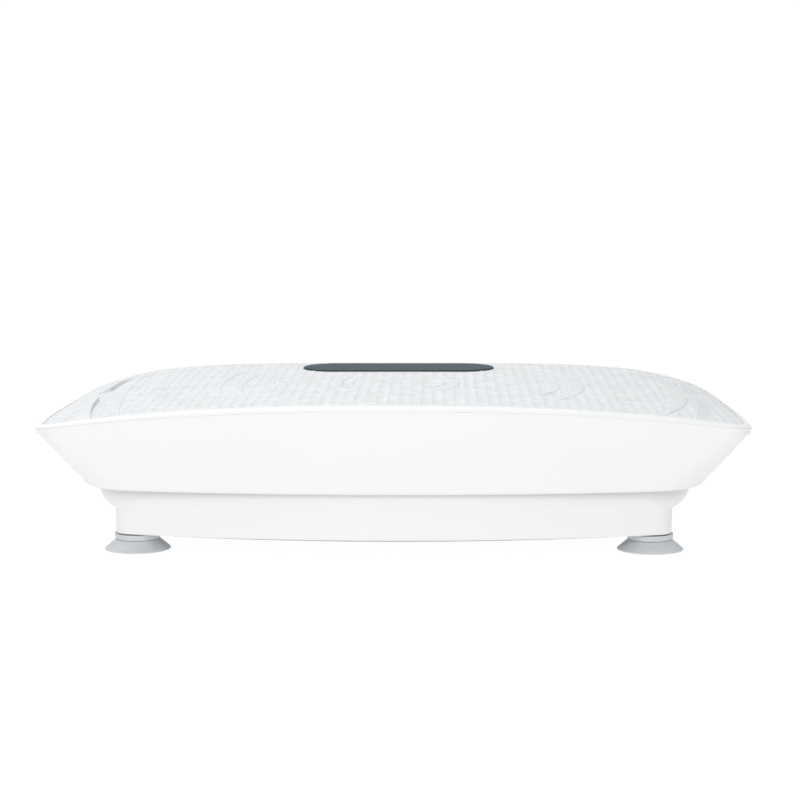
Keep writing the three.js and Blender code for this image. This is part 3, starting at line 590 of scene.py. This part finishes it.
# The raised pads, across the deck (COLUMN) and along it (RUNG): the spacing, where in it a pad stands, half
# the width of its flat top, and the widths of its slopes, before it (left, front) and after it (right, rear).
COLUMN = dict(pitch=10.2, shift=0.5, half=1.2, before=2.4, after=1.4)
RUNG = dict(pitch=22.0, shift=0.0, half=5.5, before=1.5, after=4.5)
PAD_RISE = 0.65
PAD_FLOOR = 0.12               # share of the rise that is left between the pads of a column
SLOPE_STEPS = (0.0, 0.33, 0.67, 1.0)
CLEAR_EDGE, CLEAR_LENS = 1.2, 3.0          # how far the pads stay clear of the mat's edge and of the lens,
CLEAR_TIP, CLEAR_SIDE = 3.0, 2.5           # of the points and the sides of a crescent,
CLEAR_WALL, CLEAR_SLOPE = 1.5, 1.0         # of a ridge's wall and of the foot of its slope,
CLEAR_MARK = (1.5, 2.0)                    # and of a mark, in x and y
PLATE_RISE = 0.75              # smooth raised crescents
RIDGE_RISE = 3.6
RIDGE_WIDTH = 14.0
RIDGE_X, RIDGE_BOW = 289.0, 0.00053        # the ridge's wall in the middle of the deck, and its bow
RIDGE_POINT = 0.05             # share of the full ridge that is left at its pointed end
RIDGE_GROWTH = 1.7             # growth over its length, which stops at full size
# Crescents of the right half: y of the front and rear points, their x, and x of both arcs in the middle.
CRESCENTS = [
    (-52, 34, 36, 36, 41, 50),
    (-76, 50, 45, 45, 52, 62.5),
    (-104, 76, 138, 140, 148, 160),
    (-133, 108, 152, 158, 169.5, 184.5),
    (-172, 145, 247, 264, 264, 284),
]
RIDGES = [(-172, -28, "front"), (40, 142, "rear")]         # y of both ends, and which end is pointed
MARK_X = (-220, -107, 0, 107, 220)
MARK_HALF = (18.0, 4.6)        # half of a mark's smooth patch, in x and y
DASH_PITCH, DASH_HALF = 4.6, (1.3, 3.6)
DASH_RISE = 0.6


def crescent_span(spec, y):
    """Inner and outer x of a crescent at y; equal at its points."""
    y0, y1, front_tip, rear_tip, inner, outer = spec
    t = np.clip((2 * y - y0 - y1) / (y1 - y0), -1, 1)
    middle = (front_tip + rear_tip) / 2
    chord = middle + (rear_tip - front_tip) / 2 * t
    return chord + (inner - middle) * (1 - t * t), chord + (outer - middle) * (1 - t * t)


def ridge_wall(y):
    """The x of the right-hand ridges' walls at y."""
    return RIDGE_X - RIDGE_BOW * y * y


def lens_oval(by, z):
    """The control lens's outline, shrunk: straight long edges and half-elliptic ends."""
    end = LENS_END - by
    right = [(LENS_HIGH[0] - LENS_END + end * math.sin(t), LENS_Y - (LENS_HALF_DEPTH - by) * math.cos(t))
             for t in np.linspace(0, math.pi, 41)]
    points = right + [(-x, y) for x, y in right[::-1]]
    return np.array([[x, y, z] for x, y in points])


def lens_distance(x, y):
    """Roughly how far a point is outside the lens's edge."""
    dx = np.maximum(np.abs(x) - (LENS_HIGH[0] - LENS_END), 0) / LENS_END
    dy = np.abs(y - LENS_Y) / LENS_HALF_DEPTH
    return (np.sqrt(dx * dx + dy * dy) - 1) * min(LENS_END, LENS_HALF_DEPTH)


def rim_reach(ring):
    """Half depth of an outline at each x, and half width at each y, as functions."""
    points = outline(**ring, n=60)
    quarter = points[(points[:, 0] >= 0) & (points[:, 1] <= 0)]
    by_x = quarter[np.argsort(quarter[:, 0])]
    by_y = quarter[np.argsort(-quarter[:, 1])]
    return (lambda x: np.interp(np.abs(x), by_x[:, 0], -by_x[:, 1]),
            lambda y: np.interp(np.abs(y), -by_y[:, 1], by_y[:, 0]))


MAT_DEPTH, MAT_WIDTH = rim_reach(MAT_RING)


def ground(x, y):
    """Height of the mat's flat ground: the arched deck, rolled down near its front and side edges."""
    edge = np.minimum(MAT_DEPTH(x) - np.abs(y), MAT_WIDTH(y) - np.abs(x))
    share = np.clip(1 - edge / ROLL_WIDTH, 0, 1)
    return MAT_BASE - fall(x, y) - roll(y) * share * share


def swell(position, shape):
    """How far a repeating pad has risen at a position, from 0 to 1."""
    offset = ((position / shape["pitch"] - shape["shift"] + 0.5) % 1 - 0.5) * shape["pitch"]
    slope = np.where(offset < 0, shape["before"], shape["after"])
    return smooth(np.clip((shape["half"] + slope - np.abs(offset)) / slope, 0, 1))


def within(values, low, high, margin):
    """Whether values lie between low and high, or outside them by less than the margin."""
    return (values > low - margin) & (values < high + margin)


def pad_height(x, y):
    """Height of the raised pads above the mat's ground, and none where something else lies."""
    height = PAD_RISE * swell(x, COLUMN) * (PAD_FLOOR + (1 - PAD_FLOOR) * swell(y, RUNG))
    out = np.abs(x)
    clear = (MAT_DEPTH(x) - np.abs(y) < CLEAR_EDGE) | (MAT_WIDTH(y) - out < CLEAR_EDGE)
    clear |= lens_distance(x, y) < CLEAR_LENS
    for spec in CRESCENTS:
        inner, outer = crescent_span(spec, y)
        clear |= within(y, spec[0], spec[1], CLEAR_TIP) & within(out, inner, outer, CLEAR_SIDE)
    wall = ridge_wall(y)
    across_ridge = (out > wall - CLEAR_WALL) & (out < wall + RIDGE_WIDTH + CLEAR_SLOPE)
    clear |= within(y, RIDGES[0][0], RIDGES[1][1], CLEAR_TIP) & across_ridge
    for x0 in MARK_X:
        clear |= (np.abs(x - x0) < MARK_HALF[0] + CLEAR_MARK[0]) & (np.abs(y) < MARK_HALF[1] + CLEAR_MARK[1])
    return np.where(clear, 0.0, height)


def grid_lines(limit, shape):
    """Grid positions that follow a repeating pad: a few down both slopes, and the gap's middle."""
    pitch, half = shape["pitch"], shape["half"]
    offsets = [pitch / 2] + [-half - shape["before"] * step for step in SLOPE_STEPS]
    offsets += [half + shape["after"] * step for step in SLOPE_STEPS]
    count = int(limit / pitch) + 2
    places = [(k + shape["shift"]) * pitch for k in range(-count, count + 1)]
    lines = {round(place + offset, 3) for place in places for offset in offsets}
    return np.array(sorted(line for line in lines if abs(line) < limit))


def mat_surface():
    """The mat's body: a grid with raised pads, cut to the bowed outline, with sides and an underside."""
    half_width, half_depth = MAT_RING["a"], MAT_RING["b"]
    end = np.linspace(0, MAT_END, MAT_END_STEPS)
    xs = grid_lines(half_width - MAT_END, COLUMN)
    xs = np.concatenate([end - half_width, xs, half_width - end[::-1]])
    rows = grid_lines(half_depth, RUNG)
    verts, columns, faces = [], [], []
    for x in xs:
        depth = MAT_DEPTH(x) if abs(x) < half_width - MAT_TIP else 0.0
        inside = rows[np.abs(rows) < depth - ROW_END]
        ys = np.concatenate([[-depth], inside, [depth]]) if depth else np.array([0.0])
        start = len(verts)
        rise = pad_height(np.full(len(ys), x), ys)
        verts.extend(np.c_[np.full(len(ys), x), ys, ground(x, ys) + rise])
        columns.append([(y, start + i) for i, y in enumerate(ys)])
    for left, right in zip(columns, columns[1:]):
        stitch(left, right, faces)
    rim = [column[0][1] for column in columns] + [column[-1][1] for column in columns[-2:0:-1]]
    count, previous = len(rim), rim
    edge = np.array([verts[i] for i in rim])
    for scale in MAT_SCALES:
        start = len(verts)
        flat = edge[:, :2] * scale
        verts.extend(np.c_[flat, MAT_BOTTOM - fall(flat[:, 0], flat[:, 1])])
        current = list(range(start, start + count))
        for i in range(count):
            j = (i + 1) % count
            faces.append([previous[j], previous[i], current[i], current[j]])
        previous = current
    verts.append(np.array([0, 0, MAT_BOTTOM]))
    faces += [[previous[(i + 1) % count], previous[i], len(verts) - 1] for i in range(count)]
    return verts, outward(verts, faces)


SAME_ROW = 0.5                 # points of two columns this close in y belong to one row


def stitch(left, right, faces):
    """Fills the strip between two columns of points, each sorted by y, with quads and triangles."""
    i = j = 0
    while i < len(left) - 1 or j < len(right) - 1:
        both = i < len(left) - 1 and j < len(right) - 1
        if both and abs(left[i + 1][0] - right[j + 1][0]) < SAME_ROW:
            faces.append([left[i][1], right[j][1], right[j + 1][1], left[i + 1][1]])
            i, j = i + 1, j + 1
        elif j == len(right) - 1 or (i < len(left) - 1 and left[i + 1][0] < right[j + 1][0]):
            faces.append([left[i][1], right[j][1], left[i + 1][1]])
            i += 1
        else:
            faces.append([left[i][1], right[j][1], right[j + 1][1]])
            j += 1


FOOTING = -0.5                 # how deep raised shapes reach into the mat


def bar(side, ys, sections):
    """A closed bar along y: each section is a closed list of (x, height over the ground)."""
    loops = []
    for y, section in zip(ys, sections):
        x, rise = np.array(section).T
        loops.append(np.c_[side * x, np.full(len(x), y), ground(side * x, np.full(len(x), y)) + rise])
    return loft(loops)


def crescent(spec, side):
    """A smooth raised plate with pointed ends and a rounded edge."""
    y0, y1 = spec[:2]
    ys = y0 + (y1 - y0) * (0.5 - 0.5 * np.cos(np.linspace(0.02, 0.98, 61) * math.pi))
    sections = []
    for y in ys:
        inner, outer = crescent_span(spec, y)
        soft = min(0.9, (outer - inner) * 0.3)
        top = PLATE_RISE * min(1.0, 0.4 + (outer - inner) / 6)
        sections.append([
            (inner - 0.25, FOOTING), (inner - 0.2, 0.0), (inner + 0.3 * soft, top * 0.75),
            *[(x, top) for x in np.linspace(inner + soft, outer - soft, 5)],
            (outer - 0.3 * soft, top * 0.75), (outer + 0.2, 0.0), (outer + 0.25, FOOTING)])
    return bar(side, ys, sections)


def ridge(side, y0, y1, pointed):
    """A foot ridge: a steep wall towards the middle of the deck and a long smooth slope outwards.

    It grows from a low point at one end to its full height and width.
    """
    ys = np.linspace(y0, y1, 49)
    sections = []
    for y in ys:
        along = (y - y0) / (y1 - y0) if pointed == "front" else (y1 - y) / (y1 - y0)
        share = min(1.0, RIDGE_POINT + RIDGE_GROWTH * along)
        wall = ridge_wall(y)
        width = RIDGE_WIDTH * (0.55 + 0.45 * share)
        rise = RIDGE_RISE * share + 0.15
        soft = min(0.7, 0.25 * width)
        slope = [(wall + soft + (width - soft) * t, rise * (1 - t) ** 1.3 + 0.1)
                 for t in np.linspace(0, 1, 8)]
        sections.append([(wall, FOOTING), (wall, rise - soft), (wall + 0.3 * soft, rise - 0.3 * soft),
                         *slope, (wall + width, FOOTING)])
    return bar(side, ys, sections)


def low_block(x0, x1, y0, y1, top, soft=0.35):
    """A low plate with softened edges that follows the deck's curve."""
    ys, rises = np.array([(y0, FOOTING), (y0, top - soft), (y0 + soft, top),
                          (y1 - soft, top), (y1, top - soft), (y1, FOOTING)]).T
    loops = []
    for x in (x0, x1):
        across = np.full(len(ys), x)
        loops.append(np.c_[across, ys, ground(across, ys) + rises])
    return loft(loops)


def stance_mark(x):
    """A row of small plain raised dashes on a smooth patch, in place of the deck's moulded words."""
    half_x, half_y = DASH_HALF
    middles = [x + DASH_PITCH * k for k in range(-3, 4)]
    return join([low_block(middle - half_x, middle + half_x, -half_y, half_y, DASH_RISE)
                 for middle in middles])


def deck_mat():
    """The soft mat with its pads, crescents, ridges and marks, in one mesh."""
    parts = [mat_surface()]
    for side in (-1, 1):
        parts += [crescent(spec, side) for spec in CRESCENTS]
        parts += [ridge(side, *spec) for spec in RIDGES]
    parts += [stance_mark(x) for x in MARK_X]
    mat = make("deck_mat_fine", *join(parts), sharp_deg=35)
    dress(mat, "grey_mat", "platform", "deck_mat")


# ---- control lens ----
LENS_PROUD = 0.3               # top of the lens over the CAD one
LENS_DEPTH = 1.2               # how far it reaches into the mat


def control_lens():
    """A dark oval panel with a soft edge, set into the back of the mat."""
    top = LENS_HIGH[2] + LENS_PROUD
    base = MAT_BASE - LENS_DEPTH
    edge = [(x, top - 1.0 + z) for x, z in quarter_round(0.0, 0.0, 1.2, 1.0, 6, "z")]
    loops = [lens_oval(4.0, base), lens_oval(0.0, base)] + [lens_oval(x, z) for x, z in edge]
    loops += [lens_oval(2.2, top + 0.02), lens_oval(12.0, top + 0.05), lens_oval(26.0, top + 0.06)]
    lens = make("control_lens_fine", *loft(loops), sharp_deg=60)
    dress(lens, "dark_lens", "platform", "control_lens")


# ---- feet ----
SCREW_BORE = 3.4               # radius of the hole for the foot screw


def foot(corner):
    """A suction cup with a thin flared rim, under the round socket that holds it."""
    low, high = box_mm(f"suction_cup_{corner}")
    centre = (low + high)[:2] / 2
    lip, top = (high[0] - low[0]) / 2, high[2]
    hollow = [(SCREW_BORE, 6.4), (9, 6.0), (18, 4.0), (24, 0.05), (lip - 1.0, 0.0)]
    rim = quarter_round(lip - 1.0, 0.0, lip, 0.9, 5, "r")[1:]
    back = [(lip - 0.2, 1.3), (lip - 1.0, 2.0), (lip - 4.0, 4.6), (lip - 7.0, 7.2), (lip - 9.0, 8.9),
            (lip - 9.7, 9.5), (lip - 10.0, top), (SCREW_BORE, top)]
    cup = make(f"suction_cup_{corner}_fine", *turn(hollow + rim + back, centre, ring=True), sharp_deg=40)
    dress(cup, "foot_rubber", "base", f"suction_cup_{corner}")

    low, high = box_mm(f"foot_socket_{corner}")
    radius = (high[0] - low[0]) / 2
    profile = [(SCREW_BORE, low[2]), (radius - 1.2, low[2])]
    profile += quarter_round(radius - 1.2, low[2], radius - 0.3, low[2] + 0.8, 4, "r")[1:]
    profile += [(radius, high[2]), (SCREW_BORE, high[2])]
    socket = make(f"foot_socket_{corner}_fine", *turn(profile, centre, ring=True), sharp_deg=40)
    dress(socket, "foot_rubber", "base", f"foot_socket_{corner}")


# ---- pieces refined from their CAD solids ----
WELD_MM = 0.01                 # points this close become one
FLAT_DEG = 2                   # faces this nearly level become one
EDGE_DEG = 35                  # edges sharper than this are rounded


def refined(node, slot, body, bevel_mm, segments=3):
    """The CAD solid with flat areas merged and its edges rounded."""
    source = frame["nodes"][node]
    piece = bpy.data.objects.new(f"{node}_fine", source.data.copy())
    bpy.context.scene.collection.objects.link(piece)
    weld = piece.modifiers.new("weld", "WELD")
    weld.merge_threshold = WELD_MM * MM
    flat = piece.modifiers.new("flat", "DECIMATE")
    flat.decimate_type = "DISSOLVE"
    flat.angle_limit = math.radians(FLAT_DEG)
    bevel = piece.modifiers.new("bevel", "BEVEL")
    bevel.width = bevel_mm * MM
    bevel.segments = segments
    bevel.limit_method = "ANGLE"
    bevel.angle_limit = math.radians(EDGE_DEG)
    apply_modifiers(piece)
    shade(piece.data, 32)
    return dress(piece, slot, body, node)


def power_side():
    """The module with the inlet, its fuse drawer and switch, and the plate under the tub."""
    refined("power_module", "black_plastic", "base", 0.5)
    refined("fuse_drawer", "black_plastic", "fuse_tray", 0.3)
    refined("power_switch", "black_plastic", "switch_rocker", 0.45)
    refined("bottom_plate", "steel", "base", 0.4, 2)


# ---- everything that keeps its CAD shape ----
def paint_cad_nodes():
    """Gives every CAD node that is still shown the material of its slot."""
    slots = {subpart["node"]: subpart["material_slot"] for subpart in frame["record"]["subparts"]}
    for name, node in frame["nodes"].items():
        if not node.hide_render:
            for material_slot in node.material_slots:
                material_slot.material = MATERIALS[slots[name]].material


# ---- studio ----
# Brightness of the surroundings by direction: where the fade begins and ends, and the brightness at each.
SWEEP_HEIGHT = (0.1, 0.5, 1.03, 0.6)       # by the direction's Z
SWEEP_SIDE = (0.2, 0.95, 1.0, 0.75)        # by the direction's X


def soft_world():
    """Studio surroundings: a white sweep, bright at its foot, dimmer overhead and to the right."""
    def fade(source, span):
        node = tree.nodes.new("ShaderNodeMapRange")
        node.interpolation_type = "SMOOTHSTEP"
        for key, value in zip(RANGE, span):
            node.inputs[key].default_value = value
        tree.links.new(split.outputs[source], node.inputs["Value"])
        return node.outputs["Result"]

    world = bpy.data.worlds.new("studio")
    bpy.context.scene.world = world
    world.use_nodes = True
    tree = world.node_tree
    direction = tree.nodes.new("ShaderNodeTexCoord").outputs["Generated"]
    split = tree.nodes.new("ShaderNodeSeparateXYZ")
    tree.links.new(direction, split.inputs[0])
    strength = tree.nodes.new("ShaderNodeMath")
    strength.operation = "MULTIPLY"
    tree.links.new(fade("Z", SWEEP_HEIGHT), strength.inputs[0])
    tree.links.new(fade("X", SWEEP_SIDE), strength.inputs[1])
    background = tree.nodes["Background"]
    background.inputs["Color"].default_value = (1.0, 1.0, 1.0, 1.0)
    tree.links.new(strength.outputs[0], background.inputs["Strength"])


FLOOR_REACH = 9000.0
FLOOR_GREY = 0.12
FLOOR_GLOW = 0.95              # the floor is a lit white table
LIGHTS = (                     # name, place, aim and size in metres, watts
    ("key", (-2.6, 1.8, 3.3), (0, 0, 0.1), 1.0, 42.0),
    ("top", (-0.12, -0.2, 1.4), (-0.12, -0.15, 0.1), 1.5, 8.0),
    ("front", (-0.1, -2.3, 1.05), (0, 0, 0.1), 0.8, 14.0),
)


def studio():
    """The lit floor, the surroundings and the lamps."""
    signs = ((-1, -1), (1, -1), (1, 1), (-1, 1))
    floor = make("floor", [(x * FLOOR_REACH, y * FLOOR_REACH, 0) for x, y in signs], [[0, 1, 2, 3]])
    pale = Material("pale_floor", (FLOOR_GREY, FLOOR_GREY, FLOOR_GREY, 1.0), 0.9, specular=0.0)
    pale.shader.inputs["Emission Color"].default_value = (1.0, 1.0, 1.0, 1.0)
    pale.shader.inputs["Emission Strength"].default_value = FLOOR_GLOW
    floor.data.materials.append(pale.material)
    soft_world()
    for name, place, aim, size, power in LIGHTS:
        data = bpy.data.lights.new(name, "AREA")
        data.size = size
        data.energy = power
        light = bpy.data.objects.new(name, data)
        light.location = place
        x, y, z = np.array(aim, float) - np.array(place, float)
        light.rotation_euler = (math.atan2(math.hypot(x, y), -z), 0, math.atan2(y, x) - math.pi / 2)
        bpy.context.scene.collection.objects.link(light)
    bpy.context.scene.view_settings.view_transform = "Standard"


add_camera()
top_cover()
side_shell()
base_tub()
deck_mat()
control_lens()
for corner in CORNERS:
    foot(corner)
power_side()
paint_cad_nodes()
studio()
